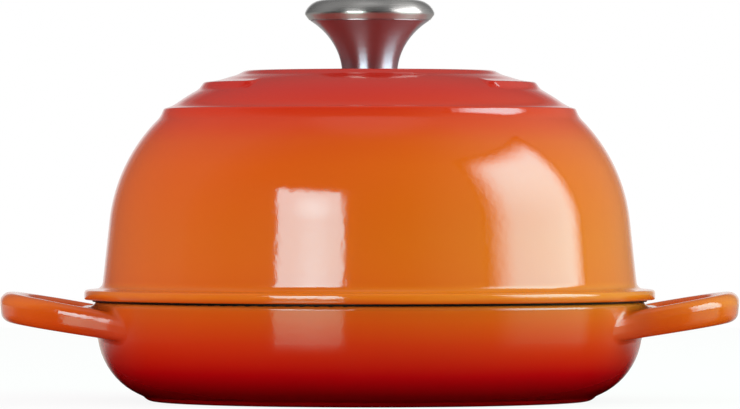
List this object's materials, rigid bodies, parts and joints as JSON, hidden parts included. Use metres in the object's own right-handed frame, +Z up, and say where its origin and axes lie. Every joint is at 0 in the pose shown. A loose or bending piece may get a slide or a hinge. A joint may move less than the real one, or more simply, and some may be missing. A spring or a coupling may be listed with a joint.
{
  "type": "bread cloche",
  "caption": "Low round cast iron pan with loop handles under a tall domed lid with stepped rings and a trumpet-shaped steel knob, for baking bread.",
  "frame": {"origin": "middle of the foot, on the surface that the pan stands on", "axes": "+Z up, +X towards one loop handle, so that the front faces -Y"},
  "size_m": [0.3274, 0.253, 0.178],
  "materials": {
    "pan_enamel": "cast iron under glossy enamel, orange at the rim and deepening to dark red at the foot, satin black inside",
    "lid_enamel": "cast iron under glossy enamel, orange on the dome and deepening to red at the crown, satin black inside",
    "brushed_stem": "satin",
    "polished_cap": "polished, with fine turning marks",
    "turned_steel": "turned",
    "screw_steel": "bright"
  },
  "bodies": {
    "base": {"base_pan": "pan_enamel"},
    "lid": {"lid_dome": "lid_enamel", "knob_stem": "brushed_stem", "knob_cap": "polished_cap", "knob_insert": "turned_steel", "knob_screw": "screw_steel", "screw_washer": "screw_steel"}
  },
  "joints": [
    {"name": "lid_lift", "type": "slide", "parent": "base", "child": "lid", "axis": [0, 0, 1], "range_m": [0, 0.15]}
  ]
}
